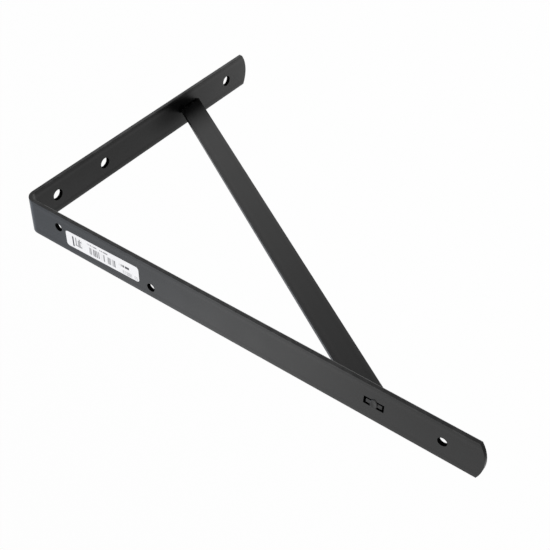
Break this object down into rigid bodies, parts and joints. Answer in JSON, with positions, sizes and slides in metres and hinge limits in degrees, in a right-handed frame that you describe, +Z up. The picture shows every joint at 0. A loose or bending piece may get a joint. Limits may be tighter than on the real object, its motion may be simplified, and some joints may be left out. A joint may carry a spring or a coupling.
{
  "type": "braced shelf bracket",
  "caption": "Black powder-coated steel shelf bracket: a bent flat bar with a diagonal brace staked through both arms, and screw holes in each arm.",
  "frame": {"origin": "on the wall face, mid width, halfway between the two upper wall screw holes", "axes": "+Z up, +X out of the wall along the shelf arm, Y across the bar; the shelf plane is at Z = 58.95 mm"},
  "size_m": [0.4005, 0.0318, 0.2805],
  "materials": {
    "powder_coat": "satin black powder coat",
    "label_paper": "matt white label paper with grey and black print fields"
  },
  "bodies": {
    "root": {"angled_bar": "powder_coat", "diagonal_brace": "powder_coat", "paper_label": "label_paper"}
  },
  "joints": []
}
